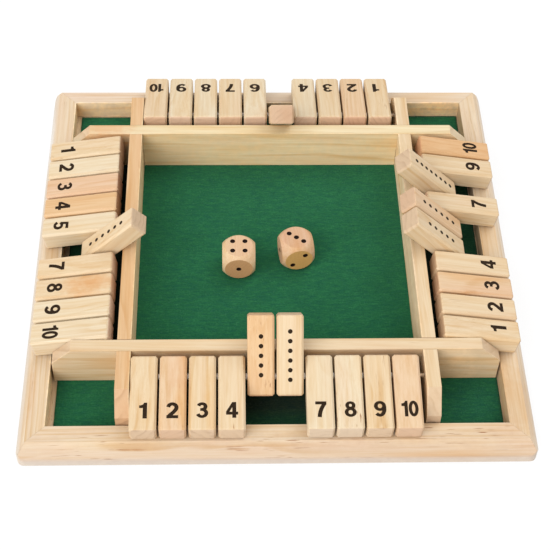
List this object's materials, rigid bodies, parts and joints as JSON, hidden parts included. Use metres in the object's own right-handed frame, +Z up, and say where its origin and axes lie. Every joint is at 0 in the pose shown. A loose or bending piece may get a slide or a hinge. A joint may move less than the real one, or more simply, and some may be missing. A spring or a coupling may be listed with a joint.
{
  "type": "shut the box game",
  "caption": "Square wooden shut the box game: a bevelled frame, a felted dice tray walled by lapped dividers, and banks of flip-over number tiles on steel rods.",
  "frame": {"origin": "middle of the underside of the base", "axes": "+Z up, -Y to the front player, +X to the right, seen from the front player"},
  "size_m": [0.225, 0.225, 0.0438],
  "materials": {
    "frame_wood": "pale natural pine, fine straight grain, satin lacquer",
    "divider_wood": "pale natural pine, planed",
    "tile_wood": "pale natural pine, a slightly different tone on each tile",
    "panel_wood": "thin plywood",
    "die_wood": "pinkish beech, fine pores",
    "green_felt": "matted wool felt",
    "rod_steel": "bright drawn wire",
    "spacer_plastic": "milky soft plastic sleeve",
    "number_ink": "flat printed ink"
  },
  "bodies": {
    "board": {"front_rail": "frame_wood", "right_rail": "frame_wood", "back_rail": "frame_wood", "left_rail": "frame_wood", "front_divider": "divider_wood", "right_divider": "divider_wood", "back_divider": "divider_wood", "left_divider": "divider_wood", "front_rod": "rod_steel", "right_rod": "rod_steel", "back_rod": "rod_steel", "left_rod": "rod_steel", "base_panel": "panel_wood", "felt_mat": "green_felt"},
    "front_tile_1": {"front_tile_1": "tile_wood"},
    "front_tile_2": {"front_tile_2": "tile_wood"},
    "front_tile_3": {"front_tile_3": "tile_wood"},
    "front_tile_4": {"front_tile_4": "tile_wood"},
    "front_tile_5": {"front_tile_5": "tile_wood"},
    "front_tile_6": {"front_tile_6": "tile_wood"},
    "front_tile_7": {"front_tile_7": "tile_wood"},
    "front_tile_8": {"front_tile_8": "tile_wood"},
    "front_tile_9": {"front_tile_9": "tile_wood"},
    "front_tile_10": {"front_tile_10": "tile_wood"},
    "right_tile_1": {"right_tile_1": "tile_wood"},
    "right_tile_2": {"right_tile_2": "tile_wood"},
    "right_tile_3": {"right_tile_3": "tile_wood"},
    "right_tile_4": {"right_tile_4": "tile_wood"},
    "right_tile_5": {"right_tile_5": "tile_wood"},
    "right_tile_6": {"right_tile_6": "tile_wood"},
    "right_tile_7": {"right_tile_7": "tile_wood"},
    "right_tile_8": {"right_tile_8": "tile_wood"},
    "right_tile_9": {"right_tile_9": "tile_wood"},
    "right_tile_10": {"right_tile_10": "tile_wood"},
    "back_tile_1": {"back_tile_1": "tile_wood"},
    "back_tile_2": {"back_tile_2": "tile_wood"},
    "back_tile_3": {"back_tile_3": "tile_wood"},
    "back_tile_4": {"back_tile_4": "tile_wood"},
    "back_tile_5": {"back_tile_5": "tile_wood"},
    "back_tile_6": {"back_tile_6": "tile_wood"},
    "back_tile_7": {"back_tile_7": "tile_wood"},
    "back_tile_8": {"back_tile_8": "tile_wood"},
    "back_tile_9": {"back_tile_9": "tile_wood"},
    "back_tile_10": {"back_tile_10": "tile_wood"},
    "left_tile_1": {"left_tile_1": "tile_wood"},
    "left_tile_2": {"left_tile_2": "tile_wood"},
    "left_tile_3": {"left_tile_3": "tile_wood"},
    "left_tile_4": {"left_tile_4": "tile_wood"},
    "left_tile_5": {"left_tile_5": "tile_wood"},
    "left_tile_6": {"left_tile_6": "tile_wood"},
    "left_tile_7": {"left_tile_7": "tile_wood"},
    "left_tile_8": {"left_tile_8": "tile_wood"},
    "left_tile_9": {"left_tile_9": "tile_wood"},
    "left_tile_10": {"left_tile_10": "tile_wood"},
    "die_1": {"die_1": "die_wood"},
    "die_2": {"die_2": "die_wood"}
  },
  "joints": [
    {"name": "die_1_lift", "type": "slide", "parent": "board", "child": "die_1", "axis": [0, 0, 1], "range_m": [0, 0.06]},
    {"name": "die_2_lift", "type": "slide", "parent": "board", "child": "die_2", "axis": [0, 0, 1], "range_m": [0, 0.06]},
    {"name": "front_tile_5_flip", "type": "hinge", "parent": "board", "child": "front_tile_5", "pos_m": [-0.0074, -0.0813, 0.0217], "axis": [-1, 0, 0], "range_deg": [-145, 0]},
    {"name": "front_tile_6_flip", "type": "hinge", "parent": "board", "child": "front_tile_6", "pos_m": [0.0052, -0.0813, 0.0217], "axis": [-1, 0, 0], "range_deg": [-145, 0]},
    {"name": "right_tile_5_flip", "type": "hinge", "parent": "board", "child": "right_tile_5", "pos_m": [0.0813, -0.0074, 0.0217], "axis": [0, -1, 0], "range_deg": [-145, 0]},
    {"name": "right_tile_6_flip", "type": "hinge", "parent": "board", "child": "right_tile_6", "pos_m": [0.0813, 0.0052, 0.0217], "axis": [0, -1, 0], "range_deg": [-145, 0]},
    {"name": "right_tile_8_flip", "type": "hinge", "parent": "board", "child": "right_tile_8", "pos_m": [0.0813, 0.0304, 0.0217], "axis": [0, -1, 0], "range_deg": [-145, 0]},
    {"name": "back_tile_5_flip", "type": "hinge", "parent": "board", "child": "back_tile_5", "pos_m": [0.0052, 0.0813, 0.0217], "axis": [1, 0, 0], "range_deg": [-145, 0]},
    {"name": "left_tile_6_flip", "type": "hinge", "parent": "board", "child": "left_tile_6", "pos_m": [-0.0813, -0.0074, 0.0217], "axis": [0, 1, 0], "range_deg": [-145, 0]},
    {"name": "front_tile_1_flip", "type": "hinge", "parent": "board", "child": "front_tile_1", "pos_m": [-0.0578, -0.0813, 0.0217], "axis": [-1, 0, 0], "range_deg": [0, 145]},
    {"name": "front_tile_10_flip", "type": "hinge", "parent": "board", "child": "front_tile_10", "pos_m": [0.0556, -0.0813, 0.0217], "axis": [-1, 0, 0], "range_deg": [0, 131]},
    {"name": "right_tile_1_flip", "type": "hinge", "parent": "board", "child": "right_tile_1", "pos_m": [0.0813, -0.0578, 0.0217], "axis": [0, -1, 0], "range_deg": [0, 145]},
    {"name": "right_tile_10_flip", "type": "hinge", "parent": "board", "child": "right_tile_10", "pos_m": [0.0813, 0.0556, 0.0217], "axis": [0, -1, 0], "range_deg": [0, 131]},
    {"name": "back_tile_1_flip", "type": "hinge", "parent": "board", "child": "back_tile_1", "pos_m": [0.0556, 0.0813, 0.0217], "axis": [1, 0, 0], "range_deg": [0, 145]},
    {"name": "back_tile_10_flip", "type": "hinge", "parent": "board", "child": "back_tile_10", "pos_m": [-0.0578, 0.0813, 0.0217], "axis": [1, 0, 0], "range_deg": [0, 131]},
    {"name": "left_tile_1_flip", "type": "hinge", "parent": "board", "child": "left_tile_1", "pos_m": [-0.0813, 0.0556, 0.0217], "axis": [0, 1, 0], "range_deg": [0, 145]},
    {"name": "left_tile_10_flip", "type": "hinge", "parent": "board", "child": "left_tile_10", "pos_m": [-0.0813, -0.0578, 0.0217], "axis": [0, 1, 0], "range_deg": [0, 131]},
    {"name": "front_tile_2_flip", "type": "hinge", "parent": "board", "child": "front_tile_2", "pos_m": [-0.0452, -0.0813, 0.0217], "axis": [-1, 0, 0], "range_deg": [0, 145]},
    {"name": "front_tile_3_flip", "type": "hinge", "parent": "board", "child": "front_tile_3", "pos_m": [-0.0326, -0.0813, 0.0217], "axis": [-1, 0, 0], "range_deg": [0, 145]},
    {"name": "front_tile_4_flip", "type": "hinge", "parent": "board", "child": "front_tile_4", "pos_m": [-0.02, -0.0813, 0.0217], "axis": [-1, 0, 0], "range_deg": [0, 145]},
    {"name": "front_tile_7_flip", "type": "hinge", "parent": "board", "child": "front_tile_7", "pos_m": [0.0178, -0.0813, 0.0217], "axis": [-1, 0, 0], "range_deg": [0, 145]},
    {"name": "front_tile_8_flip", "type": "hinge", "parent": "board", "child": "front_tile_8", "pos_m": [0.0304, -0.0813, 0.0217], "axis": [-1, 0, 0], "range_deg": [0, 145]},
    {"name": "front_tile_9_flip", "type": "hinge", "parent": "board", "child": "front_tile_9", "pos_m": [0.043, -0.0813, 0.0217], "axis": [-1, 0, 0], "range_deg": [0, 145]},
    {"name": "right_tile_2_flip", "type": "hinge", "parent": "board", "child": "right_tile_2", "pos_m": [0.0813, -0.0452, 0.0217], "axis": [0, -1, 0], "range_deg": [0, 145]},
    {"name": "right_tile_3_flip", "type": "hinge", "parent": "board", "child": "right_tile_3", "pos_m": [0.0813, -0.0326, 0.0217], "axis": [0, -1, 0], "range_deg": [0, 145]},
    {"name": "right_tile_4_flip", "type": "hinge", "parent": "board", "child": "right_tile_4", "pos_m": [0.0813, -0.02, 0.0217], "axis": [0, -1, 0], "range_deg": [0, 145]},
    {"name": "right_tile_7_flip", "type": "hinge", "parent": "board", "child": "right_tile_7", "pos_m": [0.0813, 0.0178, 0.0217], "axis": [0, -1, 0], "range_deg": [0, 145]},
    {"name": "right_tile_9_flip", "type": "hinge", "parent": "board", "child": "right_tile_9", "pos_m": [0.0813, 0.043, 0.0217], "axis": [0, -1, 0], "range_deg": [0, 145]},
    {"name": "back_tile_2_flip", "type": "hinge", "parent": "board", "child": "back_tile_2", "pos_m": [0.043, 0.0813, 0.0217], "axis": [1, 0, 0], "range_deg": [0, 145]},
    {"name": "back_tile_3_flip", "type": "hinge", "parent": "board", "child": "back_tile_3", "pos_m": [0.0304, 0.0813, 0.0217], "axis": [1, 0, 0], "range_deg": [0, 145]},
    {"name": "back_tile_4_flip", "type": "hinge", "parent": "board", "child": "back_tile_4", "pos_m": [0.0178, 0.0813, 0.0217], "axis": [1, 0, 0], "range_deg": [0, 145]},
    {"name": "back_tile_6_flip", "type": "hinge", "parent": "board", "child": "back_tile_6", "pos_m": [-0.0074, 0.0813, 0.0217], "axis": [1, 0, 0], "range_deg": [0, 145]},
    {"name": "back_tile_7_flip", "type": "hinge", "parent": "board", "child": "back_tile_7", "pos_m": [-0.02, 0.0813, 0.0217], "axis": [1, 0, 0], "range_deg": [0, 145]},
    {"name": "back_tile_8_flip", "type": "hinge", "parent": "board", "child": "back_tile_8", "pos_m": [-0.0326, 0.0813, 0.0217], "axis": [1, 0, 0], "range_deg": [0, 145]},
    {"name": "back_tile_9_flip", "type": "hinge", "parent": "board", "child": "back_tile_9", "pos_m": [-0.0452, 0.0813, 0.0217], "axis": [1, 0, 0], "range_deg": [0, 145]},
    {"name": "left_tile_2_flip", "type": "hinge", "parent": "board", "child": "left_tile_2", "pos_m": [-0.0813, 0.043, 0.0217], "axis": [0, 1, 0], "range_deg": [0, 145]},
    {"name": "left_tile_3_flip", "type": "hinge", "parent": "board", "child": "left_tile_3", "pos_m": [-0.0813, 0.0304, 0.0217], "axis": [0, 1, 0], "range_deg": [0, 145]},
    {"name": "left_tile_4_flip", "type": "hinge", "parent": "board", "child": "left_tile_4", "pos_m": [-0.0813, 0.0178, 0.0217], "axis": [0, 1, 0], "range_deg": [0, 145]},
    {"name": "left_tile_5_flip", "type": "hinge", "parent": "board", "child": "left_tile_5", "pos_m": [-0.0813, 0.0052, 0.0217], "axis": [0, 1, 0], "range_deg": [0, 145]},
    {"name": "left_tile_7_flip", "type": "hinge", "parent": "board", "child": "left_tile_7", "pos_m": [-0.0813, -0.02, 0.0217], "axis": [0, 1, 0], "range_deg": [0, 145]},
    {"name": "left_tile_8_flip", "type": "hinge", "parent": "board", "child": "left_tile_8", "pos_m": [-0.0813, -0.0326, 0.0217], "axis": [0, 1, 0], "range_deg": [0, 145]},
    {"name": "left_tile_9_flip", "type": "hinge", "parent": "board", "child": "left_tile_9", "pos_m": [-0.0813, -0.0452, 0.0217], "axis": [0, 1, 0], "range_deg": [0, 145]}
  ]
}
